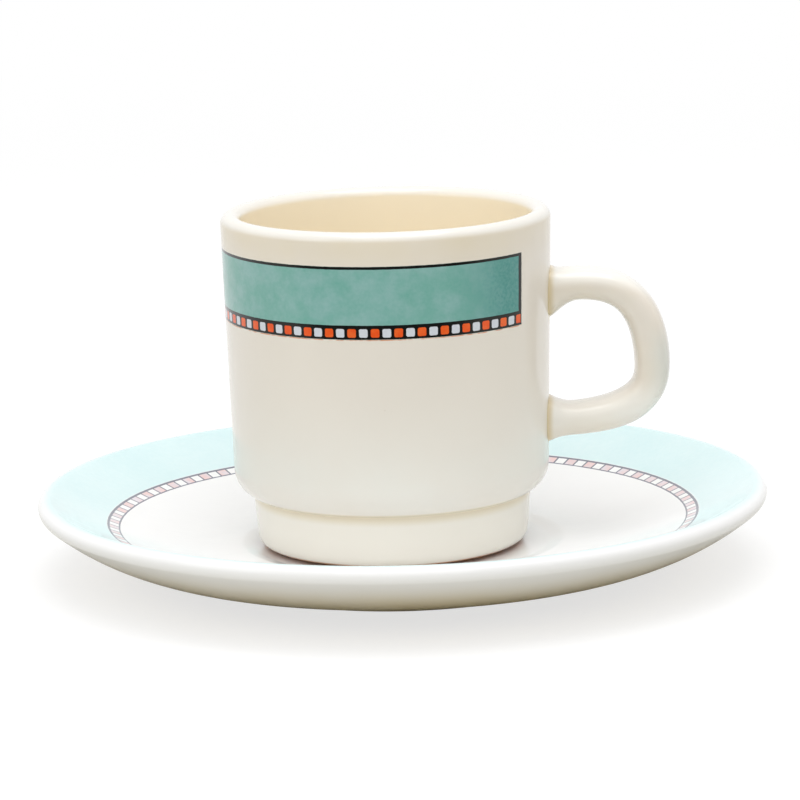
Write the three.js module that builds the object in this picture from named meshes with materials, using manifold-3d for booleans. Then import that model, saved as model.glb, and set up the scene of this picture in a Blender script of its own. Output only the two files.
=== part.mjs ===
// A stacking coffee cup standing in the well of its round saucer.
// Millimetres, +Z up. The origin is on the table, under the middle of the saucer.
// The handle points along +X.
import * as THREE from 'three';
import { mergeVertices } from 'three/addons/utils/BufferGeometryUtils.js';
import Module from 'manifold-3d';

// Cup
const CUP_RADIUS = 33.0; // outside of the wall at the rim
const CUP_HEIGHT = 67.8; // foot to the crest of the rim
const CUP_WALL = 3.9; // wall, and the full-round rim
const CUP_DRAFT = THREE.MathUtils.degToRad(1.4); // lean of the wall, narrower downwards
const SHOULDER_RADIUS = 6.3; // round under the wall, above the foot
const STACK_CLEARANCE = 1.2; // the foot nests in the mouth of a cup below, with this much room
const FOOT_HEIGHT = 9.6; // foot to the crease under the shoulder
const FOOT_DRAFT = THREE.MathUtils.degToRad(5); // lean of the foot, narrower downwards
const FOOT_EDGE_RADIUS = 2.8; // rounded lower edge of the foot
const FOOT_RING_WIDTH = 3.2; // ring that the cup stands on
const FOOT_HOLLOW = 2.0; // depth of the hollow underneath
const FOOT_HOLLOW_SLOPE = 2.0; // run of the ring's inner side
const CUP_BASE = 4.7; // base between the hollow underneath and the floor inside
const FLOOR_FILLET = 12.0; // round between the floor and the wall inside

// Handle
const HANDLE_TOP = 52.5; // height above the foot that the upper limb rises to
const HANDLE_RISE = 1.6; // the middle of the upper root lies this far below it
const HANDLE_BOTTOM = 23.9; // height that the lower limb falls to
const HANDLE_FALL = 0.5; // the middle of the lower root lies this far above it
const HANDLE_WIDEST = 33.9; // height where the loop stands out furthest
const HANDLE_REACH = 19.9; // middle of the loop there, out from the rim's radius
const UPPER_LIMB = 0.38; // how far the upper limb is drawn out level, as a share of the loop's reach
const UPPER_SIDE = 1.16; // how far the loop's side is drawn up, as a share of the way to the upper limb
const LOWER_SIDE = 0.6; // how far it is drawn down, as a share of the way to the lower limb
const LOWER_LIMB = 0.74; // how far the lower limb is drawn out level, as a share of the loop's reach
const HANDLE_WIDTH = 9.6; // across the handle
const HANDLE_THICKNESS = 6.2; // inside to outside of a limb
const HANDLE_SWELL = 1.0; // extra thickness at the outer side
const SECTION_SQUARENESS = 2.7; // exponent of the rounded section, 2 is an ellipse
const ROOT_FLARE = 0.8; // how much a root spreads at the sides and outside, where it meets the wall
const UPPER_FILLET = 3.2; // how much the upper root spreads inside the loop
const LOWER_FILLET = 2.1; // how much the lower root spreads inside the loop
const ROOT_FLARE_LENGTH = 5.3; // run of the flare
const ROOT_DEPTH = 1.6; // the limbs start this deep, before the wall's form is cut away
const ROOT_JOINT = 0.3; // joint between a root and the wall

// Saucer
const SAUCER_RADIUS = 73.3; // outside of the rim
const SAUCER_HEIGHT = 17.1; // table to the crest of the rim
const SAUCER_RIM = 3.8; // thickness of the full-round rim
const SAUCER_BASE = 3.9; // base under the well
const SAUCER_HOLLOW = 1.4; // height of the underside's middle over the table
const SAUCER_FOOT_RADIUS = 38.5; // outside of the foot ring
const SAUCER_FOOT_WIDTH = 3.4; // ring that the saucer stands on
const SAUCER_FOOT_EDGE = 0.8; // bevel of the foot ring's edges
const UNDERSIDE_HEIGHT = 3.7; // underside outside the foot ring, over the table
const SIDE_RADIUS = 34.0; // round of the underside up to the rim
const WELL_DEPTH = 0.7; // step of the well that takes the cup's foot
const WELL_SLOPE = 0.9; // run of that step
const WELL_CLEARANCE = 2.4; // room round the cup's foot in the well
const WELL_GAP = 0.4; // the cup has slid to one side of its well, to within this of the step

// Fineness of the rounds
const CUP_SEGMENTS = 64;
const SAUCER_SEGMENTS = 80;
const HANDLE_STEPS = 56;
const HANDLE_SIDES = 20;

const wasm = await Module();
wasm.setup();

// Sizes that follow from those above
const mouthRadius = CUP_RADIUS - CUP_WALL;
const footTopRadius = mouthRadius - STACK_CLEARANCE;
const footRadius = footTopRadius - FOOT_HEIGHT * Math.tan(FOOT_DRAFT);
const wellRadius = footRadius + WELL_CLEARANCE;
const wellFloor = SAUCER_HOLLOW + SAUCER_BASE;
const cupShift = WELL_GAP - WELL_CLEARANCE;

// Radius of the wall's outside at a height above the foot.
function wallRadius(z) {
  return CUP_RADIUS - (CUP_HEIGHT - z) * Math.tan(CUP_DRAFT);
}

// Points of an arc, from one angle to another, both ends included.
function arc(centre, radius, from, to, steps) {
  const points = [];
  for (let i = 0; i <= steps; i++) {
    const angle = from + ((to - from) * i) / steps;
    points.push(
      new THREE.Vector2(centre.x + radius * Math.cos(angle), centre.y + radius * Math.sin(angle)),
    );
  }
  return points;
}

// A turned solid about Z, from a profile of (radius, height) points that starts and ends on the axis.
function turned(profile, segments) {
  return new THREE.LatheGeometry(profile, segments).rotateX(Math.PI / 2);
}

// The outside of the cup from the crease under the shoulder up to the rim's inside.
function cupSide() {
  const crease = new THREE.Vector2(footTopRadius, FOOT_HEIGHT);
  // The shoulder's centre lies inside the wall by its radius, and as far from the crease.
  const along = new THREE.Vector2(Math.sin(CUP_DRAFT), Math.cos(CUP_DRAFT));
  const inward = new THREE.Vector2(-Math.cos(CUP_DRAFT), Math.sin(CUP_DRAFT));
  const start = new THREE.Vector2(wallRadius(FOOT_HEIGHT), FOOT_HEIGHT);
  start.addScaledVector(inward, SHOULDER_RADIUS);
  const toCrease = crease.clone().sub(start);
  const lift = toCrease.dot(along);
  const aside = toCrease.dot(inward);
  const centre = start.addScaledVector(along, lift + Math.sqrt(SHOULDER_RADIUS ** 2 - aside ** 2));
  const low = Math.atan2(crease.y - centre.y, crease.x - centre.x);
  const shoulder = arc(centre, SHOULDER_RADIUS, low, -CUP_DRAFT, 7);

  const rimRadius = CUP_WALL / 2;
  const rimHeight = CUP_HEIGHT - rimRadius;
  const rimCentre = new THREE.Vector2(wallRadius(rimHeight) - rimRadius / Math.cos(CUP_DRAFT), rimHeight);
  const rim = arc(rimCentre, rimRadius, -CUP_DRAFT, Math.PI - CUP_DRAFT, 10);
  return [...shoulder, ...rim];
}

// The inside of the cup, from the wall above the fillet down to the middle of the floor.
function cupInside() {
  const floor = FOOT_HOLLOW + CUP_BASE;
  const height = floor + FLOOR_FILLET;
  const centre = new THREE.Vector2(
    wallRadius(height) - (CUP_WALL + FLOOR_FILLET) / Math.cos(CUP_DRAFT),
    height,
  );
  const fillet = arc(centre, FLOOR_FILLET, -CUP_DRAFT, -Math.PI / 2, 9);
  return [...fillet, new THREE.Vector2(0, floor)];
}

// The foot, from the middle of the hollow underneath to the top of the foot's side.
function cupFoot() {
  const lean = FOOT_DRAFT;
  const edgeHeight = FOOT_EDGE_RADIUS;
  const sideRadius = footRadius + edgeHeight * Math.tan(lean);
  const edgeCentre = new THREE.Vector2(sideRadius - FOOT_EDGE_RADIUS / Math.cos(lean), edgeHeight);
  const edge = arc(edgeCentre, FOOT_EDGE_RADIUS, -Math.PI / 2, -lean, 4);
  const inner = edgeCentre.x - FOOT_RING_WIDTH;
  return [
    new THREE.Vector2(0, FOOT_HOLLOW),
    new THREE.Vector2(inner - FOOT_HOLLOW_SLOPE, FOOT_HOLLOW),
    new THREE.Vector2(inner, 0),
    ...edge,
  ];
}

function cupBody() {
  return turned([...cupFoot(), ...cupSide(), ...cupInside()], CUP_SEGMENTS);
}

// The middle line of the handle's loop, from the upper root to the lower one, in the XZ plane.
function handleLine() {
  const point = (x, z) => new THREE.Vector3(x, 0, z);
  const out = CUP_RADIUS + HANDLE_REACH;
  const root = (z) => point(wallRadius(z) - ROOT_DEPTH, z);
  const level = (from, z, share) => point(from.x + (out - from.x) * share, z);
  const upper = root(HANDLE_TOP - HANDLE_RISE);
  const lower = root(HANDLE_BOTTOM + HANDLE_FALL);
  const widest = point(out, HANDLE_WIDEST);
  const up = widest.clone().lerp(point(out, HANDLE_TOP), UPPER_SIDE);
  const down = widest.clone().lerp(point(out, HANDLE_BOTTOM), LOWER_SIDE);
  const upperLimb = level(upper, HANDLE_TOP, UPPER_LIMB);
  const lowerLimb = level(lower, HANDLE_BOTTOM, LOWER_LIMB);
  const line = new THREE.CurvePath();
  line.add(new THREE.CubicBezierCurve3(upper, upperLimb, up, widest));
  line.add(new THREE.CubicBezierCurve3(widest, down, lowerLimb, lower));
  return line;
}

// A point of the rounded section, as shares of its half width and half thickness.
function sectionPoint(angle) {
  const rounded = (value) => Math.sign(value) * Math.abs(value) ** (2 / SECTION_SQUARENESS);
  return { across: rounded(Math.cos(angle)), outward: rounded(Math.sin(angle)) };
}

// The handle's loop as a loft of rounded sections that swell at the side and flare at both roots.
function handleLoft() {
  const line = handleLine();
  const length = line.getLength();
  const positions = [];
  const index = [];
  for (let i = 0; i <= HANDLE_STEPS; i++) {
    const share = i / HANDLE_STEPS;
    const middle = line.getPointAt(share);
    const fromWall = Math.max(Math.min(share, 1 - share) * length - ROOT_DEPTH, 0);
    const spread = Math.max(1 - fromWall / ROOT_FLARE_LENGTH, 0) ** 2;
    // Close to the wall the section stands upright, along the wall.
    const level = new THREE.Vector3(share < 0.5 ? 1 : -1, 0, 0);
    const facing = line.getTangentAt(share).lerp(level, spread).normalize();
    const outward = new THREE.Vector3(-facing.z, 0, facing.x);
    const fillet = share < 0.5 ? UPPER_FILLET : LOWER_FILLET;
    const halfWidth = HANDLE_WIDTH / 2 + ROOT_FLARE * spread;
    const halfThickness = (HANDLE_THICKNESS + HANDLE_SWELL * Math.sin(Math.PI * share)) / 2;
    for (let j = 0; j < HANDLE_SIDES; j++) {
      const p = sectionPoint((2 * Math.PI * j) / HANDLE_SIDES);
      const flare = p.outward < 0 ? fillet : ROOT_FLARE;
      const v = middle.clone().addScaledVector(outward, p.outward * (halfThickness + flare * spread));
      positions.push(v.x, p.across * halfWidth, v.z);
    }
  }
  const at = (i, j) => i * HANDLE_SIDES + (j % HANDLE_SIDES);
  for (let i = 0; i < HANDLE_STEPS; i++) {
    for (let j = 0; j < HANDLE_SIDES; j++) {
      index.push(at(i, j), at(i, j + 1), at(i + 1, j));
      index.push(at(i, j + 1), at(i + 1, j + 1), at(i + 1, j));
    }
  }
  for (let j = 1; j < HANDLE_SIDES - 1; j++) {
    index.push(at(0, 0), at(0, j + 1), at(0, j));
    index.push(at(HANDLE_STEPS, 0), at(HANDLE_STEPS, j), at(HANDLE_STEPS, j + 1));
  }
  const loft = new THREE.BufferGeometry();
  loft.setAttribute('position', new THREE.Float32BufferAttribute(positions, 3));
  loft.setIndex(index);
  return loft;
}

// The form of the cup's wall, grown by the joint, that the handle's roots are cut to.
function wallForm() {
  return turned(
    [
      new THREE.Vector2(0, 0),
      new THREE.Vector2(wallRadius(0) + ROOT_JOINT, 0),
      new THREE.Vector2(wallRadius(CUP_HEIGHT) + ROOT_JOINT, CUP_HEIGHT),
      new THREE.Vector2(0, CUP_HEIGHT),
    ],
    CUP_SEGMENTS,
  );
}

function solid(geometry) {
  geometry.deleteAttribute('normal');
  geometry.deleteAttribute('uv');
  const merged = mergeVertices(geometry);
  return new wasm.Manifold(
    new wasm.Mesh({
      numProp: 3,
      vertProperties: merged.attributes.position.array,
      triVerts: new Uint32Array(merged.index.array),
    }),
  );
}

function geometryOf(made) {
  const mesh = made.getMesh();
  const geometry = new THREE.BufferGeometry();
  geometry.setAttribute('position', new THREE.BufferAttribute(mesh.vertProperties, 3));
  geometry.setIndex(new THREE.BufferAttribute(mesh.triVerts, 1));
  geometry.computeVertexNormals();
  return geometry;
}

function cupHandle() {
  return geometryOf(solid(handleLoft()).subtract(solid(wallForm())));
}

// The saucer's top, from the middle of the well over the crest of the rim to its outside.
function saucerTop(rimCentre) {
  const rimRadius = SAUCER_RIM / 2;
  const ledge = new THREE.Vector2(wellRadius + WELL_SLOPE, wellFloor + WELL_DEPTH);
  // The dish leaves the ledge level and meets the round of the rim smoothly.
  const run = rimCentre.x - ledge.x;
  const rise = rimCentre.y - ledge.y;
  const dishRadius = (run ** 2 + rise ** 2 - rimRadius ** 2) / (2 * (rise + rimRadius));
  const centre = new THREE.Vector2(ledge.x, ledge.y + dishRadius);
  const slope = Math.asin(run / (dishRadius + rimRadius));
  const dish = arc(centre, dishRadius, -Math.PI / 2, slope - Math.PI / 2, 12);
  const crest = arc(rimCentre, rimRadius, slope + Math.PI / 2, Math.PI / 2, 2);
  const outside = arc(rimCentre, rimRadius, Math.PI / 2, 0, 4);
  return [
    new THREE.Vector2(0, wellFloor),
    new THREE.Vector2(wellRadius, wellFloor),
    ...dish,
    ...crest.slice(1),
    ...outside.slice(1),
  ];
}

// The saucer's underside, from the rim's outside to the middle.
function saucerUnder(rimCentre) {
  const rimRadius = SAUCER_RIM / 2;
  const rise = UNDERSIDE_HEIGHT + SIDE_RADIUS - rimCentre.y;
  const run = Math.sqrt((SIDE_RADIUS - rimRadius) ** 2 - rise ** 2);
  const centre = new THREE.Vector2(rimCentre.x - run, UNDERSIDE_HEIGHT + SIDE_RADIUS);
  const meet = -Math.atan2(rise, run);
  const ringOutside = SAUCER_FOOT_RADIUS + SAUCER_FOOT_EDGE;
  const start = Math.acos(Math.min(Math.max((ringOutside - centre.x) / SIDE_RADIUS, 0), 1));
  const side = arc(centre, SIDE_RADIUS, meet, -start, 9);
  const edge = arc(rimCentre, rimRadius, 0, meet, 3);
  const ringInside = SAUCER_FOOT_RADIUS - SAUCER_FOOT_WIDTH;
  return [
    ...edge.slice(1),
    ...side.slice(1),
    new THREE.Vector2(ringOutside, side.at(-1).y),
    new THREE.Vector2(SAUCER_FOOT_RADIUS, SAUCER_FOOT_EDGE),
    new THREE.Vector2(SAUCER_FOOT_RADIUS - SAUCER_FOOT_EDGE, 0),
    new THREE.Vector2(ringInside, 0),
    new THREE.Vector2(ringInside - SAUCER_HOLLOW, SAUCER_HOLLOW),
    new THREE.Vector2(0, SAUCER_HOLLOW),
  ];
}

function saucer() {
  const rimCentre = new THREE.Vector2(SAUCER_RADIUS - SAUCER_RIM / 2, SAUCER_HEIGHT - SAUCER_RIM / 2);
  const profile = [...saucerTop(rimCentre), ...saucerUnder(rimCentre)];
  return turned(profile.reverse(), SAUCER_SEGMENTS);
}

function piece(name, geometry, colour, roughness) {
  const material = new THREE.MeshStandardMaterial({ color: colour, roughness, metalness: 0 });
  const mesh = new THREE.Mesh(geometry, material);
  mesh.name = name;
  return mesh;
}

const cup = new THREE.Group();
cup.position.set(cupShift, 0, wellFloor);
cup.add(piece('cup_body', cupBody(), '#ece6d8', 0.15));
cup.add(piece('cup_handle', cupHandle(), '#ece6d8', 0.15));

const set = new THREE.Group();
set.add(piece('saucer', saucer(), '#f2f5f2', 0.15));
set.add(cup);

export default set;
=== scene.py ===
import math

import bmesh
import bpy
from mathutils import Matrix, Vector
from mathutils.geometry import interpolate_bezier


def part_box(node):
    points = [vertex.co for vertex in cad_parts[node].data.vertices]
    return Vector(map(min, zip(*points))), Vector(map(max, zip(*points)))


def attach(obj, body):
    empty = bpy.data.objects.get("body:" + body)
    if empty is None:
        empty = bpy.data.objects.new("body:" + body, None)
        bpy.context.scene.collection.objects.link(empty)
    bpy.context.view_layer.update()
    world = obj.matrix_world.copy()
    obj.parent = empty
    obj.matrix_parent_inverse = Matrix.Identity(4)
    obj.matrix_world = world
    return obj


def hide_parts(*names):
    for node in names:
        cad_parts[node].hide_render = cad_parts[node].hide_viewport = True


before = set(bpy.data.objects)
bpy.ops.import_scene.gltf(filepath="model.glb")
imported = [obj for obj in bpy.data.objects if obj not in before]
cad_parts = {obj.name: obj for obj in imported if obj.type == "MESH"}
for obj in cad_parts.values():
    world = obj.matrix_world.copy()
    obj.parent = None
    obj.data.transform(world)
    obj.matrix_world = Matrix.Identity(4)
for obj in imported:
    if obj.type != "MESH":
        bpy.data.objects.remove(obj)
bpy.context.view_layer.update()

MM = 0.001

# Places read from the frame, in mm: the cup stands on the saucer's well, a little off the middle.
cup_low, cup_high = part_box("cup_body")
_, saucer_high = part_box("saucer")
_, handle_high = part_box("cup_handle")
CUP_AXIS = 0.5 * (cup_low.x + cup_high.x) / MM
CUP_RADIUS = 0.5 * (cup_high.y - cup_low.y) / MM
CUP_FOOT = cup_low.z / MM
CUP_RIM = cup_high.z / MM
SAUCER_RADIUS = saucer_high.y / MM
SAUCER_HEIGHT = saucer_high.z / MM
HANDLE_REACH = handle_high.x / MM - CUP_AXIS

# Cup body, in mm, heights above the foot.
CUP_WALL = 3.9
CUP_RIM_FULLNESS = 0.99
CUP_DRAFT = math.radians(1.4)
CUP_FLOOR = 6.7
CUP_FLOOR_FILLET = 12.0
SHOULDER_HEIGHT = 12.5
SHOULDER_ROUND = 5.4
CREASE_RADIUS = 27.9
CREASE_HEIGHT = 11.0
CREASE_ROUND = 0.5
FOOT_RADIUS = 27.06
FOOT_ROUND = 2.4
FOOT_STEP = 0.5
FOOT_STEP_LEAN = 0.2
FOOT_STEP_ROUND = 0.2
STAND_OUTSIDE = 23.6
STAND_INSIDE = 21.3
STAND_ROUND = 0.5
FOOT_HOLLOW = 2.0
FOOT_SLOPE = 2.0
FOOT_HOLLOW_ROUND = 1.6
CUP_STEPS = 96

# Saucer, in mm, heights above the table.
WELL_RADIUS = 29.46
WELL_SLOPE = 3.0
WELL_DEPTH = 0.7
WELL_ROUND = 5.0
LEDGE_ROUND = 5.0
LEDGE_CLEAR = 1.1
DISH_ANGLE = math.radians(29.4)
RIM_ROUND = 1.9
UNDERSIDE_ANGLE = math.radians(39.0)
UNDERSIDE_HEIGHT = 2.8
UNDERSIDE_ROUND = 46.0
SAUCER_FOOT_RADIUS = 38.4
SAUCER_FOOT_LEAN = 0.7
SAUCER_FOOT_WIDTH = 3.4
SAUCER_FOOT_ROUND = 0.8
SAUCER_FOOT_SLOPE = 1.4
SAUCER_HOLLOW = 1.4
SAUCER_STEPS = 128

# Handle, in mm, heights above the cup's foot.
HANDLE_TOP = 52.5
HANDLE_RISE = 1.6
HANDLE_BOTTOM = 23.9
HANDLE_FALL = 0.5
HANDLE_WIDEST = 33.9
HANDLE_WIDTH = 9.6
HANDLE_THICKNESS = 6.2
HANDLE_SWELL = 0.16
UPPER_LIMB = 0.38
UPPER_SIDE = 1.16
LOWER_SIDE = 0.6
LOWER_LIMB = 0.74
ROOT_DEPTH = 1.6
ROOT_RINGS = (-1.3, -0.2, 0.6, 1.5, 2.7, 4.2)
ROOT_FLARE = 0.8
ROOT_FLARE_LENGTH = 5.3
UPPER_FILLET = 3.2
LOWER_FILLET = 2.1
OUTER_FILLET = 0.8
SEAT_DEPTH = 0.2
LOOP_RINGS = 12
LOOP_CLEAR = 0.6
ROUTE_POINTS = 65
SECTION_POINTS = 8
SECTION_CORNER = 1.2
SECTION_SLACK = 0.05
SECTION_REACH = 12.0

# How finely profiles are drawn and pieces are smoothed, lengths in mm.
ARC_ANGLE = math.radians(11.0)
ARC_LENGTH = 3.0
ARC_STEPS = 3
LONGEST_EDGE = 4.0
WELD = 0.002
TURNED_LEVELS = 1
HANDLE_LEVELS = 3


def start(name):
    """Names the primitive just added, puts its place into its mesh and opens it for editing."""
    bpy.ops.object.transform_apply(location=True, rotation=True, scale=True)
    piece = bpy.context.object
    piece.name = name
    piece.data.name = name
    bpy.ops.object.mode_set(mode="EDIT")
    bpy.ops.mesh.select_all(action="SELECT")
    return piece


def select_vertices(piece, wanted):
    """Selects the vertices of the piece being edited whose place passes a test, and nothing else."""
    bpy.ops.mesh.select_all(action="DESELECT")
    mesh = bmesh.from_edit_mesh(piece.data)
    for vertex in mesh.verts:
        vertex.select = wanted(vertex.co)
    mesh.select_flush_mode()
    bmesh.update_edit_mesh(piece.data)


def select_long_edges(piece, longest):
    """Selects the edges of the piece being edited that are longer than a length, and counts them."""
    bpy.ops.mesh.select_all(action="DESELECT")
    bpy.ops.mesh.select_mode(type="EDGE")
    mesh = bmesh.from_edit_mesh(piece.data)
    for edge in mesh.edges:
        edge.select = edge.calc_length() > longest
    mesh.select_flush_mode()
    bmesh.update_edit_mesh(piece.data)
    return sum(edge.select for edge in mesh.edges)


def smooth_by_subdivision(piece, levels):
    bpy.ops.object.modifier_add(type="SUBSURF")
    modifier = piece.modifiers[-1]
    modifier.levels = levels
    modifier.render_levels = levels
    bpy.ops.object.modifier_apply(modifier=modifier.name)
    bpy.ops.object.shade_smooth()


def draw_profile(name, axis, corners):
    """A profile of edges in the XZ plane through (radius, height, rounding) corners, in mm from an axis."""
    places = [Vector((axis + radius, 0.0, height)) * MM for radius, height, _ in corners]
    bpy.ops.object.select_all(action="DESELECT")
    bpy.ops.mesh.primitive_plane_add(size=MM, location=places[0])
    piece = start(name)
    bpy.ops.mesh.merge(type="CENTER")
    here = places[0]
    for i in range(1, len(places)):
        corner = places[i]
        rounding = corners[i][2] * MM
        if not rounding:
            bpy.ops.mesh.extrude_region_move(TRANSFORM_OT_translate={"value": corner - here})
            here = corner
            continue
        before = (corner - places[i - 1]).normalized()
        after = (places[i + 1] - corner).normalized()
        turn = math.acos(max(-1.0, min(1.0, before.dot(after))))
        cut = rounding * math.tan(turn / 2)
        first = corner - before * cut
        last = corner + after * cut
        side = (after - before * before.dot(after)).normalized()
        middle = first + side * rounding
        way = before.cross(after).y
        bpy.ops.mesh.extrude_region_move(TRANSFORM_OT_translate={"value": first - here})
        by_angle = math.ceil(turn / ARC_ANGLE)
        by_length = math.ceil(rounding * turn / (ARC_LENGTH * MM))
        bpy.ops.mesh.spin(
            steps=max(ARC_STEPS, by_angle, by_length),
            angle=math.copysign(turn, -way),
            center=middle,
            axis=(0.0, 1.0, 0.0),
        )
        here = last
    return piece


def turned(name, axis, corners, steps):
    """A piece of pottery thrown about an upright axis: its profile drawn, spun, closed and smoothed."""
    piece = draw_profile(name, axis, corners)
    while select_long_edges(piece, LONGEST_EDGE * MM):
        bpy.ops.mesh.subdivide(number_cuts=1)
    bpy.ops.mesh.select_mode(type="VERT")
    bpy.ops.mesh.select_all(action="SELECT")
    bpy.ops.mesh.spin(
        steps=steps,
        angle=2 * math.pi,
        center=(axis * MM, 0.0, 0.0),
        axis=(0.0, 0.0, 1.0),
    )
    bpy.ops.mesh.select_all(action="SELECT")
    bpy.ops.mesh.remove_doubles(threshold=WELD * MM)
    bpy.ops.mesh.normals_make_consistent(inside=False)
    bpy.ops.object.mode_set(mode="OBJECT")
    smooth_by_subdivision(piece, TURNED_LEVELS)
    return piece


def wall_radius(height):
    """Radius of the cup's outside at a height above the foot, in mm."""
    return CUP_RADIUS - (CUP_RIM - CUP_FOOT - height) * math.tan(CUP_DRAFT)


def make_cup():
    rim = CUP_RIM - CUP_FOOT
    inner_wall = wall_radius(CUP_FLOOR) - CUP_WALL
    rim_round = 0.5 * CUP_WALL * CUP_RIM_FULLNESS
    corners = [
        (0.0, FOOT_HOLLOW, 0.0),
        (STAND_INSIDE - FOOT_SLOPE, FOOT_HOLLOW, FOOT_HOLLOW_ROUND),
        (STAND_INSIDE, 0.0, STAND_ROUND),
        (STAND_OUTSIDE, 0.0, STAND_ROUND),
        (STAND_OUTSIDE + FOOT_STEP_LEAN, FOOT_STEP, FOOT_STEP_ROUND),
        (FOOT_RADIUS, FOOT_STEP, FOOT_ROUND),
        (CREASE_RADIUS, CREASE_HEIGHT, CREASE_ROUND),
        (wall_radius(SHOULDER_HEIGHT), SHOULDER_HEIGHT, SHOULDER_ROUND),
        (CUP_RADIUS, rim, rim_round),
        (CUP_RADIUS - CUP_WALL, rim, rim_round),
        (inner_wall, CUP_FLOOR, CUP_FLOOR_FILLET),
        (0.0, CUP_FLOOR, 0.0),
    ]
    corners = [(radius, CUP_FOOT + height, rounding) for radius, height, rounding in corners]
    return turned("cup", CUP_AXIS, corners, CUP_STEPS)


def make_saucer():
    floor = CUP_FOOT
    ledge = WELL_RADIUS + WELL_SLOPE
    ledge_height = floor + WELL_DEPTH
    rim_x = SAUCER_RADIUS - RIM_ROUND
    rim_z = SAUCER_HEIGHT - RIM_ROUND
    # The rim's round lies between the slope of the dish and the slope of the underside.
    top_turn = math.pi / 2 + DISH_ANGLE
    low_turn = -math.pi / 2 + UNDERSIDE_ANGLE
    middle_turn = 0.5 * (top_turn + low_turn)
    reach = RIM_ROUND / math.cos(0.25 * (top_turn - low_turn))
    upper_turn = 0.5 * (top_turn + middle_turn)
    lower_turn = 0.5 * (middle_turn + low_turn)
    rim_upper = (rim_x + reach * math.cos(upper_turn), rim_z + reach * math.sin(upper_turn))
    rim_lower = (rim_x + reach * math.cos(lower_turn), rim_z + reach * math.sin(lower_turn))
    dish_corner = rim_upper[0] - (rim_upper[1] - ledge_height) / math.tan(DISH_ANGLE)
    ledge_cut = LEDGE_ROUND * math.tan(0.5 * math.atan2(WELL_DEPTH, WELL_SLOPE))
    dish_round = (dish_corner - ledge - LEDGE_CLEAR * ledge_cut) / math.tan(0.5 * DISH_ANGLE)
    under_corner = rim_lower[0] - (rim_lower[1] - UNDERSIDE_HEIGHT) / math.tan(UNDERSIDE_ANGLE)
    foot_inside = SAUCER_FOOT_RADIUS - SAUCER_FOOT_WIDTH
    corners = [
        (0.0, floor, 0.0),
        (WELL_RADIUS, floor, WELL_ROUND),
        (ledge, ledge_height, LEDGE_ROUND),
        (dish_corner, ledge_height, dish_round),
        (*rim_upper, RIM_ROUND),
        (*rim_lower, RIM_ROUND),
        (under_corner, UNDERSIDE_HEIGHT, UNDERSIDE_ROUND),
        (SAUCER_FOOT_RADIUS + SAUCER_FOOT_LEAN, UNDERSIDE_HEIGHT, SAUCER_FOOT_ROUND),
        (SAUCER_FOOT_RADIUS, 0.0, SAUCER_FOOT_ROUND),
        (foot_inside, 0.0, SAUCER_FOOT_ROUND),
        (foot_inside - SAUCER_FOOT_SLOPE, SAUCER_HOLLOW, SAUCER_FOOT_ROUND),
        (0.0, SAUCER_HOLLOW, 0.0),
    ]
    return turned("saucer_dish", 0.0, corners, SAUCER_STEPS)


def handle_route():
    """The middle line of the handle's loop as closely spaced points, from the upper root to the lower."""
    out = HANDLE_REACH - 0.5 * HANDLE_THICKNESS * (1 + HANDLE_SWELL)
    widest = Vector((out, 0.0, HANDLE_WIDEST))
    halves = []
    for height, root_height, limb_share, side_share in (
        (HANDLE_TOP, HANDLE_TOP - HANDLE_RISE, UPPER_LIMB, UPPER_SIDE),
        (HANDLE_BOTTOM, HANDLE_BOTTOM + HANDLE_FALL, LOWER_LIMB, LOWER_SIDE),
    ):
        root = Vector((wall_radius(root_height) - ROOT_DEPTH, 0.0, root_height))
        limb = Vector((root.x + (out - root.x) * limb_share, 0.0, height))
        side = widest.lerp(Vector((out, 0.0, height)), side_share)
        halves.append(interpolate_bezier(root, limb, side, widest, ROUTE_POINTS))
    upper, lower = halves
    route = list(upper) + list(reversed(lower))[1:]
    shift = Vector((CUP_AXIS, 0.0, CUP_FOOT))
    return [(point + shift) * MM for point in route]


def along(route, distance):
    """The place and the direction at a distance along a route of points."""
    left = distance
    for here, there in zip(route, route[1:]):
        step = (there - here).length
        if left <= step:
            return here.lerp(there, left / step), (there - here).normalized()
        left -= step
    return route[-1], (route[-1] - route[-2]).normalized()


def on_ring(co, place, direction):
    """Whether a vertex lies on the ring of the handle's section at a place."""
    away = co - place
    return abs(away.dot(direction)) < SECTION_SLACK * MM and away.length < SECTION_REACH * MM


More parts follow.
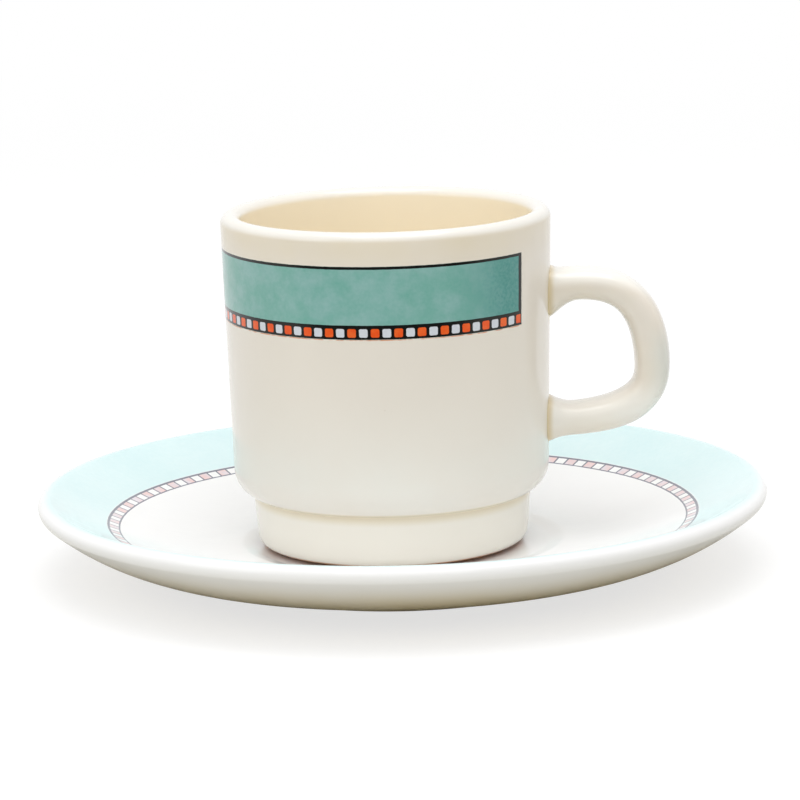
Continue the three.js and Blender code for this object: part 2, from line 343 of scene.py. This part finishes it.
def make_handle(cup):
    """A rounded section pulled round the loop, swelling at the side and flaring at the roots."""
    route = handle_route()
    length = sum((there - here).length for here, there in zip(route, route[1:]))
    first = [(distance + ROOT_DEPTH) * MM for distance in ROOT_RINGS]
    last = [length - distance for distance in reversed(first)]
    loop_start = (ROOT_DEPTH + ROOT_FLARE_LENGTH + LOOP_CLEAR) * MM
    spacing = (length - 2 * loop_start) / (LOOP_RINGS - 1)
    loop = [loop_start + spacing * i for i in range(LOOP_RINGS)]
    rings = []
    for distance in first + loop + last:
        place, direction = along(route, distance)
        upper = distance < 0.5 * length
        from_wall = min(distance, length - distance) / MM - ROOT_DEPTH
        flare = max(0.0, min(1.0, 1 - from_wall / ROOT_FLARE_LENGTH)) ** 2
        # Close to the wall the section stands upright, along the wall.
        level = Vector((1.0 if upper else -1.0, 0.0, 0.0))
        direction = direction.lerp(level, flare).normalized()
        size = 1 + HANDLE_SWELL * math.sin(math.pi * distance / length)
        size += 2 * ROOT_FLARE / HANDLE_WIDTH * flare
        fillet = -UPPER_FILLET if upper else LOWER_FILLET
        fillet -= math.copysign(ROOT_FLARE, fillet)
        outer = math.copysign(OUTER_FILLET, -fillet)
        rings.append((place, direction, size, (fillet * flare * MM, outer * flare**2 * MM)))

    bpy.ops.object.select_all(action="DESELECT")
    bpy.ops.mesh.primitive_circle_add(
        vertices=SECTION_POINTS,
        radius=0.5,
        fill_type="NGON",
        location=rings[0][0],
        rotation=(0.0, math.pi / 2, 0.0),
    )
    piece = start("handle")
    centre = rings[0][0]
    # On this circle, 1 m wide for now, the corner points are those that lie off both axes.
    off_axis = 0.2
    select_vertices(
        piece,
        lambda co: abs(co.y - centre.y) > off_axis and abs(co.z - centre.z) > off_axis,
    )
    bpy.ops.transform.resize(value=(SECTION_CORNER,) * 3, center_override=centre)
    bpy.ops.mesh.select_all(action="SELECT")
    # The cage is a little larger than the section, which subdivision draws in.
    cage = 3.0 / (2.0 + SECTION_CORNER * math.cos(math.pi / 4))
    section = (1.0, HANDLE_WIDTH * MM * cage, HANDLE_THICKNESS * MM * cage)
    bpy.ops.transform.resize(value=section, center_override=centre)
    bpy.ops.transform.resize(value=(rings[0][2],) * 3, center_override=centre)
    for i in range(1, len(rings)):
        place, direction, size, _ = rings[i]
        old_place, old_direction, old_size, _ = rings[i - 1]
        bend = math.atan2(old_direction.cross(direction).y, old_direction.dot(direction))
        bpy.ops.mesh.extrude_region_move(TRANSFORM_OT_translate={"value": place - old_place})
        bpy.ops.transform.rotate(value=-bend, orient_axis="Y", center_override=place)
        bpy.ops.transform.resize(value=(size / old_size,) * 3, center_override=place)
    one_side = 1e-9
    seat = piece.vertex_groups.new(name="seat")
    piece.vertex_groups.active_index = seat.index
    for i, (place, direction, _, fillets) in enumerate(rings):
        if not fillets[0]:
            continue
        select_vertices(piece, lambda co: on_ring(co, place, direction))
        if i in (1, len(rings) - 2):
            bpy.ops.object.vertex_group_assign()
        # Both sides of the loop are drawn along the wall into fillets, the inside more than the outside.
        for fillet in fillets:
            select_vertices(
                piece,
                lambda co: on_ring(co, place, direction) and (co.z - place.z) * fillet > one_side,
            )
            bpy.ops.transform.translate(value=(0.0, 0.0, fillet))
    bpy.ops.mesh.select_all(action="SELECT")
    bpy.ops.mesh.normals_make_consistent(inside=False)
    bpy.ops.object.mode_set(mode="OBJECT")
    bpy.ops.object.modifier_add(type="SHRINKWRAP")
    modifier = piece.modifiers[-1]
    modifier.target = cup
    modifier.wrap_method = "NEAREST_SURFACEPOINT"
    modifier.wrap_mode = "ABOVE_SURFACE"
    modifier.offset = -SEAT_DEPTH * MM
    modifier.vertex_group = seat.name
    bpy.ops.object.modifier_apply(modifier=modifier.name)
    smooth_by_subdivision(piece, HANDLE_LEVELS)
    return piece


cup = make_cup()
saucer = make_saucer()
handle = make_handle(cup)


def srgb(red, green, blue):
    """A colour from sRGB shares of 255, as the linear RGBA that shaders take."""
    linear = []
    for share in (red, green, blue):
        value = share / 255
        linear.append(value / 12.92 if value <= 0.04045 else ((value + 0.055) / 1.055) ** 2.4)
    return (*linear, 1.0)


NOISE_ROUGHNESS = 0.55


class Value:
    """One socket of a material. Arithmetic on it adds Math nodes."""

    def __init__(self, tree, socket):
        self.tree = tree
        self.socket = socket

    def node(self, kind, settings, sockets, out=0):
        """A node of any type: its settings, the values or links of its sockets, and the output taken."""
        made = self.tree.nodes.new(kind)
        for name, setting in settings.items():
            setattr(made, name, setting)
        for name, value in sockets.items():
            if isinstance(value, Value):
                self.tree.links.new(value.socket, made.inputs[name])
            else:
                made.inputs[name].default_value = value
        return Value(self.tree, made.outputs[out])

    def math(self, operation, *others):
        """A Math node on this value and others."""
        return self.node("ShaderNodeMath", {"operation": operation}, dict(enumerate((self, *others))))

    def __add__(self, other):
        return self.math("ADD", other)

    def __radd__(self, other):
        return self.math("ADD", other)

    def __sub__(self, other):
        return self.math("SUBTRACT", other)

    def __rsub__(self, other):
        return self.node("ShaderNodeMath", {"operation": "SUBTRACT"}, {0: other, 1: self})

    def __mul__(self, other):
        return self.math("MULTIPLY", other)

    def __rmul__(self, other):
        return self.math("MULTIPLY", other)

    def __truediv__(self, other):
        return self.math("DIVIDE", other)

    def __abs__(self):
        return self.math("ABSOLUTE")

    def most(self, other):
        return self.math("MAXIMUM", other)

    def ramp(self, low, high):
        """0 at low, 1 at high, with soft ends. Low may be the larger."""
        sockets = {"Value": self, "From Min": low, "From Max": high}
        return self.node("ShaderNodeMapRange", {"interpolation_type": "SMOOTHSTEP"}, sockets)

    def within(self, low, high, soft):
        """1 between low and high, with soft edges."""
        return self.ramp(low - soft, low + soft) * self.ramp(high + soft, high - soft)

    def noise(self, scale, detail, offset):
        """Noise from 0 to 1 about this vector, at a number of lumps to the mm."""
        moved = self.node(
            "ShaderNodeVectorMath",
            {"operation": "ADD"},
            {0: self, 1: (offset * MM, offset * MM, offset * MM)},
        )
        sockets = {"Vector": moved, "Scale": scale / MM, "Detail": detail, "Roughness": NOISE_ROUGHNESS}
        return self.node("ShaderNodeTexNoise", {"noise_dimensions": "3D"}, sockets)

    def mix(self, low, high):
        """The colour low where this is 0 and high where it is 1."""
        return self.node("ShaderNodeMix", {"data_type": "RGBA"}, {0: self, 6: low, 7: high}, 2)


def new_material(name):
    """A material with one Principled shader, and the Object place of a point as a Value."""
    material = bpy.data.materials.new(name)
    material.use_nodes = True
    tree = material.node_tree
    tree.nodes.clear()
    output = tree.nodes.new("ShaderNodeOutputMaterial")
    shader = tree.nodes.new("ShaderNodeBsdfPrincipled")
    tree.links.new(shader.outputs["BSDF"], output.inputs["Surface"])
    coordinates = tree.nodes.new("ShaderNodeTexCoord")
    return material, shader, Value(tree, coordinates.outputs["Object"])


def spread(place):
    """The three parts of a place, as Values in mm."""
    split = place.node("ShaderNodeSeparateXYZ", {}, {0: place})
    parts = [Value(place.tree, socket) for socket in split.socket.node.outputs]
    return [part / MM for part in parts]


# Fired glazes. A noise is its lumps to the mm, its detail and its offset.
# A ramp is where it is 0 and where it is 1. A pair of shares is a steady one and one that varies.
GLAZE_IOR = 1.5
GLAZE_SPECULAR = 0.5
SMEARS = (0.12, 3.0, 31.0)
SMEAR_RAMP = (0.35, 0.75)
SMEAR_ROUGHNESS = 0.10
WAVES = (0.07, 2.0, 53.0)
RIPPLES = (0.9, 2.0, 17.0)
RIPPLE_SHARE = 0.12
WAVE_HEIGHT = 0.3
GLAZE_CLOUDS = (0.05, 3.0, 5.0)
CLOUD_RAMP = (0.3, 0.7)
GRAIN_RAMP = (0.25, 0.75)
PATCH_RAMP = (0.35, 0.7)
EDGE_SOFT = 0.05


def finish_glaze(shader, place, colour, gloss, waviness):
    """Colour, uneven gloss and the slow waves of a fired glaze on a material's shader."""
    roughness = gloss + SMEAR_ROUGHNESS * place.noise(*SMEARS).ramp(*SMEAR_RAMP)
    waves = place.noise(*WAVES) + RIPPLE_SHARE * place.noise(*RIPPLES)
    bump = place.node(
        "ShaderNodeBump",
        {},
        {"Strength": waviness, "Distance": WAVE_HEIGHT * MM, "Height": waves},
    )
    tree = place.tree
    tree.links.new(colour.socket, shader.inputs["Base Color"])
    tree.links.new(roughness.socket, shader.inputs["Roughness"])
    tree.links.new(bump.socket, shader.inputs["Normal"])
    shader.inputs["IOR"].default_value = GLAZE_IOR
    shader.inputs["Specular IOR Level"].default_value = GLAZE_SPECULAR


def squares(count):
    """How far a count lies from its nearest square, and 1 on every second square."""
    number = count.math("ROUND")
    return abs(count - number), number.math("PINGPONG", 1.0)


# Cream stoneware glaze, heights above the cup's foot and radii in mm.
CREAM = srgb(235, 227, 216)
CREAM_WARM = srgb(234, 222, 198)
CREAM_COOL = srgb(236, 233, 225)
CREAM_INSIDE_LIT = srgb(254, 243, 219)
RIM_HIGHLIGHT = srgb(241, 239, 234)
FOOT_BOUNCE_LIGHT = srgb(244, 239, 228)
SPECK = srgb(150, 118, 84)
BISCUIT = srgb(188, 116, 40)
# Colour of the painted shade in creases and at the handle's roots.
CREASE_SHADE = srgb(222, 204, 164)
CREAM_GLOSS = 0.10
CREAM_WAVINESS = 0.25
COOL_HEIGHTS = (40.0, 8.0)
COOL_SHARES = (0.4, 0.5)
WARM_HEIGHTS = (58.0, 66.0)
WARM_SHARES = (0.35, 0.5)
SPECKS = (0.55, 1.0, 71.0)
SPECK_RAMP = (0.80, 0.86)
SPECK_SHARE = 0.5
FOOT_LIGHT_EDGE = (CREASE_HEIGHT, CREASE_HEIGHT - 1.0)
CREASE_SHADE_START = (CREASE_HEIGHT - 2.2, CREASE_HEIGHT - 0.2)
CREASE_SHADE_END = (CREASE_HEIGHT + 1.0, CREASE_HEIGHT + 0.3)
CREASE_SHADE_SHARE = 0.55
OUTSIDE_EDGE = (CUP_RADIUS - CUP_WALL + 0.2, CUP_RADIUS - CUP_WALL + 0.7)
BOWL_EDGE = (SHOULDER_HEIGHT + 0.2, SHOULDER_HEIGHT + 0.7)
BOWL_FLOOR_RADII = (27.2, 26.6)
BOWL_FLOOR_HEIGHTS = (CUP_FLOOR - 2.3, CUP_FLOOR - 1.3)
BISCUIT_EDGE = (1.3, 0.7)
# Where the painted highlight on the rim's top starts, and how strong it is.
RIM_HIGHLIGHT_EDGE = (65.8, 67.0)
RIM_HIGHLIGHT_SHARE = 0.8


def cream_glaze(place, height):
    """The cup's glaze: warmer towards the rim, cooler low down, clouded and with a few specks."""
    clouds = place.noise(*GLAZE_CLOUDS).ramp(*CLOUD_RAMP)
    cool = height.ramp(*COOL_HEIGHTS) * (COOL_SHARES[0] + COOL_SHARES[1] * clouds)
    warm = height.ramp(*WARM_HEIGHTS) * (WARM_SHARES[0] + WARM_SHARES[1] * clouds)
    colour = warm.mix(cool.mix(CREAM, CREAM_COOL), CREAM_WARM)
    specks = place.noise(*SPECKS).ramp(*SPECK_RAMP)
    return (SPECK_SHARE * specks).mix(colour, SPECK)


# Printed band of the cup, heights below the rim in mm.
# Angles are in degrees from the side away from the handle.
TEAL = srgb(115, 174, 162)
TEAL_PALE = srgb(146, 187, 184)
TEAL_DEEP = srgb(69, 143, 138)
INK = srgb(10, 12, 12)
ORANGE = srgb(238, 84, 24)
ORANGE_PALE = srgb(242, 108, 44)
CHALK = srgb(214, 218, 226)
FRINGE = srgb(214, 128, 82)
BAND_TOP = 6.4
BAND_LINE = 0.57
BORDER_TOP = 17.87
BAND_BOTTOM = 20.67
BAND_START = -143.6
BAND_END = 141.4
END_LINE = 1.7
ANGLE_SOFT = 0.1
SQUARE_TOP = 18.55
SQUARE_BOTTOM = 20.23
SQUARE_PITCH = 4.024
SQUARE_FRONT = -89.67
SQUARE_SHARE = 0.74
SQUARE_ROUND = 0.35
SQUARE_END = 0.6
BAND_WAVER = (0.8, 2.0, 3.0)
BAND_WAVER_SIZE = 0.10
BAND_WAVER_ANGLE = 3.0
TEAL_GRAIN = (1.6, 3.0, 11.0)
TEAL_GRAIN_SHARE = 0.25
TEAL_CLOUDS = (0.25, 3.0, 23.0)
TEAL_CLOUD_SHARE = 0.65
# The band darkens towards its end by the handle: partly the print's deeper teal, partly painted shade.
DEEP_ANGLES = (BAND_START + 34.0, BAND_START + 4.0)
DEEP_SHARES = (0.65, 0.35)
ORANGE_CLOUDS = (0.35, 2.0, 47.0)
ORANGE_SHARE = 0.8
FRINGE_WIDTH = 0.2
FRINGE_BREAKS = (0.5, 2.0, 61.0)
FRINGE_RAMP = (0.35, 0.6)

# Patches of painted shade where the handle's roots meet the wall: middle and half height above the foot,
# and half width.
ROOT_PATCH_WIDTH = 0.5 * HANDLE_WIDTH + ROOT_FLARE
ROOT_PATCHES = tuple(
    (height + 0.5 * (ROOT_FLARE - fillet) * way, 0.5 * (HANDLE_THICKNESS + ROOT_FLARE + fillet))
    for height, fillet, way in (
        (HANDLE_TOP - HANDLE_RISE, UPPER_FILLET, 1),
        (HANDLE_BOTTOM + HANDLE_FALL, LOWER_FILLET, -1),
    )
)
ROOT_SQUARENESS = 2.7
ROOT_PATCH_EDGES = (0.6, 1.5, 0.3)
HANDLE_SIDE = (0.0, 1.0)


def cup_material():
    material, shader, place = new_material("cream_glaze_with_printed_band")
    x, y, z = spread(place)
    height = z - CUP_FOOT
    across = x - CUP_AXIS
    radius = (across * across + y * y).math("SQRT")
    # The foot is painted lighter, standing in for light bounced up from the saucer.
    colour = height.ramp(*FOOT_LIGHT_EDGE).mix(cream_glaze(place, height), FOOT_BOUNCE_LIGHT)
    # Painted shade: a darker, warmer colour in the crease above the foot and round the handle's roots.
    painted_shade = CREASE_SHADE_SHARE * height.ramp(*CREASE_SHADE_START) * height.ramp(*CREASE_SHADE_END)
    for middle, half_height in ROOT_PATCHES:
        out = abs(y) / ROOT_PATCH_WIDTH
        up = abs(height - middle) / half_height
        rounded = out.math("POWER", ROOT_SQUARENESS) + up.math("POWER", ROOT_SQUARENESS)
        painted_shade = painted_shade.most(across.ramp(*HANDLE_SIDE) * rounded.within(*ROOT_PATCH_EDGES))
    colour = painted_shade.mix(colour, CREASE_SHADE)
    outside = radius.ramp(*OUTSIDE_EDGE)
    bowl = (1.0 - outside) * height.ramp(*BOWL_EDGE)
    bowl_floor = radius.ramp(*BOWL_FLOOR_RADII) * height.ramp(*BOWL_FLOOR_HEIGHTS)
    # The inside's glaze is warmer, and it is also painted lighter to stand in for the light falling into
    # the cup.
    colour = bowl.most(bowl_floor).mix(colour, CREAM_INSIDE_LIT)
    # The ring that the cup stands on is left bare of glaze, and a highlight is painted on the rim's top.
    colour = height.ramp(*BISCUIT_EDGE).mix(colour, BISCUIT)
    colour = (RIM_HIGHLIGHT_SHARE * height.ramp(*RIM_HIGHLIGHT_EDGE)).mix(colour, RIM_HIGHLIGHT)

    # The print's edges waver a little, as a transfer does.
    waver = BAND_WAVER_SIZE * (place.noise(*BAND_WAVER) - 0.5)
    below = CUP_RIM - z + waver
    angle = y.math("ARCTAN2", 0.0 - across) * (180 / math.pi) + BAND_WAVER_ANGLE * waver
    band = outside * angle.within(BAND_START, BAND_END, ANGLE_SOFT)
    field = band * below.within(BAND_TOP, BAND_BOTTOM, EDGE_SOFT)

    grain = place.noise(*TEAL_GRAIN).ramp(*GRAIN_RAMP)
    clouds = place.noise(*TEAL_CLOUDS).ramp(*CLOUD_RAMP)
    teal = (TEAL_GRAIN_SHARE * grain + TEAL_CLOUD_SHARE * clouds).mix(TEAL, TEAL_PALE)
    # Deeper teal near the handle: partly print, partly painted shade.
    deep = angle.ramp(*DEEP_ANGLES) * (DEEP_SHARES[0] + DEEP_SHARES[1] * grain)
    colour = field.mix(colour, deep.mix(teal, TEAL_DEEP))

    top_line = below.within(BAND_TOP, BAND_TOP + BAND_LINE, EDGE_SOFT)
    border = below.within(BORDER_TOP, BAND_BOTTOM, EDGE_SOFT)
    ends = 1.0 - angle.within(BAND_START + END_LINE, BAND_END - END_LINE, ANGLE_SOFT)
    colour = (field * top_line.most(border).most(ends)).mix(colour, INK)

    aside, odd = squares((angle - SQUARE_FRONT) / SQUARE_PITCH)
    pitch = math.radians(SQUARE_PITCH) * wall_radius(CUP_RIM - CUP_FOOT - SQUARE_BOTTOM)
    half_width = 0.5 * SQUARE_SHARE * pitch - SQUARE_ROUND
    half_height = 0.5 * (SQUARE_BOTTOM - SQUARE_TOP) - SQUARE_ROUND
    out = (aside * pitch - half_width).most(0.0)
    up = (abs(below - 0.5 * (SQUARE_TOP + SQUARE_BOTTOM)) - half_height).most(0.0)
    corner = (out * out + up * up).math("SQRT")
    square = corner.ramp(SQUARE_ROUND + EDGE_SOFT, SQUARE_ROUND - EDGE_SOFT) * band
    square = square * angle.within(BAND_START + SQUARE_END, BAND_END - SQUARE_END, ANGLE_SOFT)
    orange = (ORANGE_SHARE * place.noise(*ORANGE_CLOUDS).ramp(*PATCH_RAMP)).mix(ORANGE, ORANGE_PALE)
    colour = square.mix(colour, odd.mix(CHALK, orange))

    # A broken orange fringe shows under the border, where the transfer's colours don't quite meet.
    fringe = band * below.within(BAND_BOTTOM + EDGE_SOFT, BAND_BOTTOM + FRINGE_WIDTH, EDGE_SOFT)
    fringe = fringe * place.noise(*FRINGE_BREAKS).ramp(*FRINGE_RAMP)
    colour = fringe.mix(colour, FRINGE)
    finish_glaze(shader, place, colour, CREAM_GLOSS, CREAM_WAVINESS)
    return material


# The handle's tints, painted highlights, painted reflection and painted shade, heights above the cup's foot
# and distances from its axis or its wall in mm.
HANDLE_HIGHLIGHT = srgb(246, 243, 236)
HANDLE_REFLECTION = srgb(218, 222, 217)
HANDLE_CLOUDS = (0.08, 2.0, 37.0)
HANDLE_WARM_SHARE = 0.35
LOOP_OUTSIDE = (HANDLE_REACH - HANDLE_THICKNESS, HANDLE_REACH - 1.0)
LOOP_HEIGHTS = (46.0, 38.0)
LOOP_REFLECTION_SHARE = 0.6
UPPER_HIGHLIGHT = (HANDLE_TOP - 1.2, HANDLE_TOP + 1.6)
UPPER_BEND_START = 41.0
UPPER_BEND = 0.022
LOWER_HIGHLIGHT = (HANDLE_BOTTOM - 1.5, HANDLE_BOTTOM + 3.0)
LOWER_HIGHLIGHT_END = (34.0, 28.0)
LOWER_HIGHLIGHT_SHARE = 0.7
ROOT_SHADE = (1.4, 0.0)
ROOT_SHADE_SHARE = 0.8


def handle_material():
    material, shader, place = new_material("cream_glaze")
    x, y, z = spread(place)
    height = z - CUP_FOOT
    across = x - CUP_AXIS
    from_wall = (across * across + y * y).math("SQRT") - wall_radius(height)
    clouds = place.noise(*HANDLE_CLOUDS).ramp(*CLOUD_RAMP)
    colour = (HANDLE_WARM_SHARE * clouds).mix(cream_glaze(place, height), CREAM_WARM)
    # A highlight is painted along the tops of both limbs, and a cool reflection round the outside of the
    # loop.
    outside = across.ramp(*LOOP_OUTSIDE) * height.ramp(*LOOP_HEIGHTS)
    colour = (LOOP_REFLECTION_SHARE * outside).mix(colour, HANDLE_REFLECTION)
    bend = (across - UPPER_BEND_START).most(0.0)
    upper = (height + UPPER_BEND * bend * bend).ramp(*UPPER_HIGHLIGHT)
    lower = height.ramp(*LOWER_HIGHLIGHT) * height.ramp(*LOWER_HIGHLIGHT_END)
    colour = upper.most(LOWER_HIGHLIGHT_SHARE * lower).mix(colour, HANDLE_HIGHLIGHT)
    # Painted shade on the handle close to the wall.
    colour = (ROOT_SHADE_SHARE * from_wall.ramp(*ROOT_SHADE)).mix(colour, CREASE_SHADE)
    finish_glaze(shader, place, colour, CREAM_GLOSS, CREAM_WAVINESS)
    return material


# White glaze of the saucer and its printed ring, radii and heights in mm.
WHITE = srgb(249, 249, 249)
WARM_TABLE_REFLECTION = srgb(236, 219, 176)
# The ring's print is painted in pale, washed-out colours, standing in for glare on the saucer's top.
AQUA = srgb(214, 240, 242)
AQUA_PALE = srgb(226, 246, 247)
PINK = srgb(238, 207, 205)
PINK_PALE = srgb(229, 220, 227)
LILAC = srgb(124, 126, 139)
WHITE_GLOSS = 0.09
WHITE_WAVINESS = 0.2
MIDDLE_DROP = 2.2
MIDDLE_CURVE = 142.0
MIDDLE_SOFT = 0.3
UNDER_REFLECTION_HEIGHTS = (14.0, 4.5)
UNDER_REFLECTION_SHARES = (0.7, 0.3)
RING_INNER = 57.0
RING_OUTER = 59.6
RING_INNER_LINE = 0.34
RING_OUTER_LINE = 0.5
RING_SQUARES = 146
RING_GAP = 0.40
RING_GAP_SOFT = 0.06
RING_WAVER = (0.6, 2.0, 3.0)
RING_WAVER_SIZE = 0.12
AQUA_START = (RING_OUTER - 0.4, RING_OUTER + 0.4)
AQUA_END = (SAUCER_RADIUS - RIM_ROUND + 1.5, SAUCER_RADIUS - RIM_ROUND - 0.5)
AQUA_GRAIN = (0.9, 3.0, 11.0)
AQUA_GRAIN_SHARE = 0.3
AQUA_CLOUD_SHARE = 0.5
PINK_CLOUDS = (0.3, 2.0, 47.0)


def saucer_material():
    material, shader, place = new_material("white_glaze_with_printed_ring")
    x, y, z = spread(place)
    clouds = place.noise(*GLAZE_CLOUDS).ramp(*CLOUD_RAMP)
    radius = (x * x + y * y).math("SQRT")
    # The dish's upper side is told from its underside by a middle line between the two.
    climb = (radius - WELL_RADIUS - WELL_SLOPE).most(0.0)
    middle = CUP_FOOT + WELL_DEPTH - MIDDLE_DROP + climb * climb / MIDDLE_CURVE
    above = (z - middle).ramp(-MIDDLE_SOFT, MIDDLE_SOFT)
    # Painted reflection of a warm table, growing stronger towards the bottom of the underside.
    under = (1.0 - above) * z.ramp(*UNDER_REFLECTION_HEIGHTS)
    colour = (under * (UNDER_REFLECTION_SHARES[0] + UNDER_REFLECTION_SHARES[1] * clouds)).mix(WHITE, WARM_TABLE_REFLECTION)

    radius = radius + RING_WAVER_SIZE * (place.noise(*RING_WAVER) - 0.5)
    # The printed wash and ring take glare-paled colours, as painted light.
    wash = radius.ramp(*AQUA_START) * radius.ramp(*AQUA_END)
    grain = place.noise(*AQUA_GRAIN).ramp(*GRAIN_RAMP)
    aqua = (AQUA_GRAIN_SHARE * grain + AQUA_CLOUD_SHARE * clouds).mix(AQUA, AQUA_PALE)
    colour = (wash * above).mix(colour, aqua)

    ring = radius.within(RING_INNER, RING_OUTER, EDGE_SOFT) * above
    aside, odd = squares(y.math("ARCTAN2", x) * (RING_SQUARES / (2 * math.pi)))
    pitch = math.pi * (RING_INNER + RING_OUTER) / RING_SQUARES
    half_width = 0.5 * (pitch - RING_GAP)
    gap = (aside * pitch).ramp(half_width - RING_GAP_SOFT, half_width + RING_GAP_SOFT)
    inner_line = radius.within(RING_INNER, RING_INNER + RING_INNER_LINE, EDGE_SOFT)
    outer_line = radius.within(RING_OUTER - RING_OUTER_LINE, RING_OUTER, EDGE_SOFT)
    pink = place.noise(*PINK_CLOUDS).ramp(*PATCH_RAMP).mix(PINK, PINK_PALE)
    colour = (ring * odd).mix(colour, pink)
    colour = (ring * gap.most(inner_line).most(outer_line)).mix(colour, LILAC)
    finish_glaze(shader, place, colour, WHITE_GLOSS, WHITE_WAVINESS)
    return material


for piece, body, node, slot, material in (
    (cup, "cup", "cup_body", "cup_glaze", cup_material()),
    (handle, "cup", "cup_handle", "cup_glaze", handle_material()),
    (saucer, "saucer", "saucer", "saucer_glaze", saucer_material()),
):
    piece.data.materials.clear()
    piece.data.materials.append(material)
    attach(piece, body)
    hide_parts(node)


# Stage, in metres and watts. It is white to the camera all round.
# Reflections see it white behind the cup, and dimmer in front.
# A lamp is a name, a place, a target, a size and a power.
WHITE_LIGHT = (1.0, 1.0, 1.0, 1.0)
WORLD_LIGHT = 0.62
ROOM_SHINE = 0.15
ROOM_BEHIND = (-0.7, 0.2)
FLOOR_SIZE = 8.0
FLOOR_HEIGHT = -0.0002
FLOOR_MATT = (0.66, 0.65, 0.60, 1.0)
FLOOR_SEEN = (0.34, 0.34, 0.34, 1.0)
FLOOR_SHINE = (0.12, 0.12, 0.11, 1.0)
FLOOR_LIFT = 0.70
FLOOR_FADE = (0.25, 0.90)
FLOOR_BEHIND = (-0.05, 0.15)
FLOOR_AHEAD = (-0.12, -0.20)
LAMPS = (
    ("overhead", (0.03, -0.15, 1.00), (0.0, 0.0, 0.0), 0.8, 5.4),
    ("front", (0.0, -0.90, 0.75), (0.0, 0.0, 0.04), 0.8, 1.5),
    ("left_fill", (-0.90, -0.60, 0.45), (0.0, 0.0, 0.04), 0.6, 1.2),
)
CAMERA_PLACE = (0.0, -0.8, 0.1916)
CAMERA_DOWN = math.radians(11.131)
CAMERA_ROLL = math.radians(-1.477)
CAMERA_LENS = 182.67
CAMERA_SENSOR = 36.0


def light_path(tree):
    """Shares of 1 for rays of the camera, and for rays of reflections and of glass."""
    path = tree.nodes.new("ShaderNodeLightPath")
    glossy = Value(tree, path.outputs["Is Glossy Ray"])
    through = Value(tree, path.outputs["Is Transmission Ray"])
    return Value(tree, path.outputs["Is Camera Ray"]), glossy.most(through)


def blend(share, first, second):
    """The first shader where a share is 0 and the second where it is 1."""
    return share.node("ShaderNodeMixShader", {}, {0: share, 1: first, 2: second})


def make_floor():
    """A wide pale floor, white to the camera apart from the soft shadow on it."""
    bpy.ops.object.select_all(action="DESELECT")
    bpy.ops.mesh.primitive_plane_add(size=FLOOR_SIZE, location=(0.0, 0.0, FLOOR_HEIGHT))
    floor = bpy.context.object
    floor.name = "floor"
    material = bpy.data.materials.new("pale_floor")
    material.use_nodes = True
    tree = material.node_tree
    tree.nodes.clear()
    output = tree.nodes.new("ShaderNodeOutputMaterial")
    camera, glossy = light_path(tree)
    place = Value(tree, tree.nodes.new("ShaderNodeTexCoord").outputs["Object"])
    depth = place.node("ShaderNodeSeparateXYZ", {}, {0: place}, 1)
    distance = place.node("ShaderNodeVectorMath", {"operation": "LENGTH"}, {0: place}, "Value")
    matt = place.node("ShaderNodeBsdfDiffuse", {}, {"Color": FLOOR_MATT})
    dim = place.node("ShaderNodeBsdfDiffuse", {}, {"Color": FLOOR_SHINE})
    seen = place.node("ShaderNodeBsdfDiffuse", {}, {"Color": FLOOR_SEEN})
    lift = place.node("ShaderNodeEmission", {}, {"Color": WHITE_LIGHT, "Strength": FLOOR_LIFT})
    white = place.node("ShaderNodeEmission", {}, {"Color": WHITE_LIGHT, "Strength": 1.0})
    near = place.node("ShaderNodeAddShader", {}, {0: seen, 1: lift})
    # Far from the cup no shadow falls, and the floor is as white as the room behind it.
    pale = blend(distance.ramp(*FLOOR_FADE), near, white)
    plain = blend(glossy * depth.ramp(*FLOOR_AHEAD), matt, dim)
    mixed = blend(camera.most(glossy * depth.ramp(*FLOOR_BEHIND)), plain, pale)
    tree.links.new(mixed.socket, output.inputs["Surface"])
    floor.data.materials.append(material)


def add_lamp(name, place, target, size, watts):
    """A square soft lamp at a place, aimed at a target."""
    bpy.ops.object.light_add(type="AREA", location=place)
    lamp = bpy.context.object
    lamp.name = name
    lamp.data.name = name
    lamp.data.size = size
    lamp.data.energy = watts
    aim = Vector(target) - Vector(place)
    lamp.rotation_mode = "QUATERNION"
    lamp.rotation_quaternion = aim.to_track_quat("-Z", "Y")


def make_light():
    """A white room all round and the lamps."""
    world = bpy.data.worlds.new("studio")
    bpy.context.scene.world = world
    world.use_nodes = True
    tree = world.node_tree
    background = tree.nodes["Background"]
    background.inputs["Color"].default_value = WHITE_LIGHT
    camera, glossy = light_path(tree)
    direction = Value(tree, tree.nodes.new("ShaderNodeTexCoord").outputs["Generated"])
    behind = direction.node("ShaderNodeSeparateXYZ", {}, {0: direction}, 1).ramp(*ROOM_BEHIND)
    shine = ROOM_SHINE + (1.0 - ROOM_SHINE) * behind
    strength = camera.most(WORLD_LIGHT + (shine - WORLD_LIGHT) * glossy)
    tree.links.new(strength.socket, background.inputs["Strength"])
    for lamp in LAMPS:
        add_lamp(*lamp)


def make_camera():
    """The camera: far back, a little above the cup, looking down and rolled by a degree and a half."""
    ahead = Vector((0.0, math.cos(CAMERA_DOWN), -math.sin(CAMERA_DOWN)))
    right = ahead.cross(Vector((0.0, 0.0, 1.0))).normalized()
    up = right.cross(ahead)
    across = right * math.cos(CAMERA_ROLL) + up * math.sin(CAMERA_ROLL)
    upright = up * math.cos(CAMERA_ROLL) - right * math.sin(CAMERA_ROLL)
    turn = Matrix((across, upright, -ahead)).transposed()
    bpy.ops.object.camera_add(location=CAMERA_PLACE)
    camera = bpy.context.object
    camera.name = "camera"
    camera.rotation_mode = "QUATERNION"
    camera.rotation_quaternion = turn.to_quaternion()
    camera.data.lens = CAMERA_LENS
    camera.data.sensor_width = CAMERA_SENSOR
    bpy.context.scene.camera = camera


make_floor()
make_light()
make_camera()
bpy.context.scene.view_settings.view_transform = "Standard"
